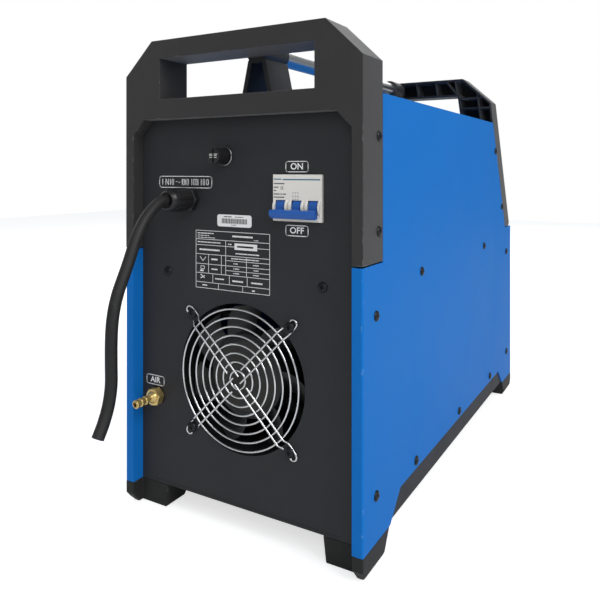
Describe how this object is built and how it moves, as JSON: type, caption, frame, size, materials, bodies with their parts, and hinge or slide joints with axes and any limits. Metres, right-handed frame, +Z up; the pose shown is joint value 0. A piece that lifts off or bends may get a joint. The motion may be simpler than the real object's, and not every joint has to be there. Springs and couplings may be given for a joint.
{
  "type": "plasma cutter unit",
  "caption": "Inverter plasma cutter power unit: folded blue steel casing between black carrying frames, with fan, breaker, cable gland, air inlet, output sockets and sloping controls.",
  "frame": {"origin": "on the floor below the middle of the casing", "axes": "+Y towards the rear mains side, -Y towards the controls, +X to the left seen from behind, +Z up"},
  "size_m": [0.2904, 0.7319, 0.505],
  "materials": {
    "blue_panel": "semi-gloss powder coat",
    "black_sheet": "satin powder coat",
    "frame_plastic": "fine moulded texture",
    "fascia_plastic": "fine texture",
    "foot_plastic": "moulded",
    "zinc_sheet": "zinc plated",
    "satin_tube": "satin",
    "bracket_black": "moulded",
    "screw_black": "black zinc",
    "fan_plastic": "moulded",
    "guard_chrome": "bright plated wire",
    "breaker_white": "semi-gloss",
    "toggle_blue": "semi-gloss",
    "fuse_plastic": "satin",
    "fuse_metal": "plated caps",
    "gland_plastic": "moulded nylon",
    "cord_rubber": "matt rubber sheath",
    "brass": "turned",
    "hose_blue": "smooth hose",
    "socket_plastic": "satin",
    "knob_plastic": "soft touch",
    "encoder_metal": "plain",
    "button_metal": "anodised",
    "display_dark": "polished",
    "lamp_red": "translucent",
    "gauge_black": "satin",
    "needle_red": "painted",
    "gauge_clear": "clear",
    "sink_aluminium": "extruded",
    "module_black": "moulded epoxy",
    "core_dark": "ferrite",
    "copper_coil": "enamelled wire",
    "board_green": "solder resist"
  },
  "bodies": {
    "casing": {"left_side_panel": "blue_panel", "right_side_panel": "blue_panel", "top_cover": "blue_panel", "rear_panel": "black_sheet", "front_panel": "black_sheet", "base_tray": "black_sheet", "rear_frame": "frame_plastic", "front_frame": "frame_plastic", "control_fascia": "fascia_plastic", "rear_left_foot": "foot_plastic", "rear_right_foot": "foot_plastic", "front_left_foot": "foot_plastic", "front_right_foot": "foot_plastic", "mid_shelf": "zinc_sheet", "breaker_rail": "zinc_sheet", "valve_bracket": "zinc_sheet", "carry_tube": "satin_tube", "rear_tube_bracket": "bracket_black", "front_tube_bracket": "bracket_black", "casing_screws": "screw_black", "panel_screws": "screw_black", "fan_screws": "screw_black", "fan_ring": "fan_plastic", "fan_guard": "guard_chrome", "breaker_body": "breaker_white", "fuse_holder": "fuse_plastic", "cable_gland": "gland_plastic", "gland_locknut": "gland_plastic", "power_cord": "cord_rubber", "air_inlet": "brass", "air_locknut": "brass", "air_valve": "brass", "torch_socket": "brass", "work_socket_insert": "brass", "air_hose": "hose_blue", "torch_flange": "socket_plastic", "work_socket_shell": "socket_plastic", "current_encoder": "encoder_metal", "air_regulator": "encoder_metal", "display_window": "display_dark", "status_lamps": "lamp_red", "gauge_case": "gauge_black", "gauge_glass": "gauge_clear", "primary_heatsink": "sink_aluminium", "output_heatsink": "sink_aluminium", "power_modules": "module_black", "rectifiers": "module_black", "main_transformer": "core_dark", "output_inductor": "copper_coil", "power_board": "board_green"},
    "fan_rotor": {"fan_rotor": "fan_plastic"},
    "breaker_toggles": {"breaker_toggles": "toggle_blue"},
    "fuse_carrier": {"fuse_cap": "fuse_plastic", "fuse_link": "fuse_metal"},
    "current_knob": {"current_knob": "knob_plastic"},
    "regulator_knob": {"regulator_knob": "knob_plastic"},
    "gauge_needle": {"gauge_needle": "needle_red"},
    "mode_button": {"mode_button": "button_metal"},
    "trigger_button": {"trigger_button": "button_metal"},
    "purge_button": {"purge_button": "button_metal"}
  },
  "joints": [
    {"name": "fan_spin", "type": "hinge", "parent": "casing", "child": "fan_rotor", "pos_m": [0, 0.27, 0.1555], "axis": [0, 1, 0], "continuous": true},
    {"name": "breaker_switch", "type": "hinge", "parent": "casing", "child": "breaker_toggles", "pos_m": [-0.0685, 0.281, 0.331], "axis": [1, 0, 0], "range_deg": [0, 47]},
    {"name": "fuse_cap_turn", "type": "hinge", "parent": "casing", "child": "fuse_carrier", "pos_m": [0.0185, 0.29, 0.381], "axis": [0, 1, 0], "range_deg": [0, 90]},
    {"name": "current_knob_turn", "type": "hinge", "parent": "casing", "child": "current_knob", "pos_m": [-0.062, -0.25644, 0.31724], "axis": [0, -0.8965, 0.4431], "continuous": true},
    {"name": "regulator_knob_turn", "type": "hinge", "parent": "casing", "child": "regulator_knob", "pos_m": [0.078, -0.25644, 0.31724], "axis": [0, -0.8965, 0.4431], "range_deg": [0, 720]},
    {"name": "gauge_needle_turn", "type": "hinge", "parent": "casing", "child": "gauge_needle", "pos_m": [0.078, -0.22542, 0.37999], "axis": [0, 0.8965, -0.4431], "range_deg": [0, 270], "stiffness_Nm_per_rad": 0.003},
    {"name": "mode_button_press", "type": "slide", "parent": "casing", "child": "mode_button", "axis": [0, 0.8965, -0.4431], "range_m": [0, 0.0015], "stiffness_N_per_m": 400},
    {"name": "trigger_button_press", "type": "slide", "parent": "casing", "child": "trigger_button", "axis": [0, 0.8965, -0.4431], "range_m": [0, 0.0015], "stiffness_N_per_m": 400},
    {"name": "purge_button_press", "type": "slide", "parent": "casing", "child": "purge_button", "axis": [0, 0.8965, -0.4431], "range_m": [0, 0.0015], "stiffness_N_per_m": 400}
  ]
}
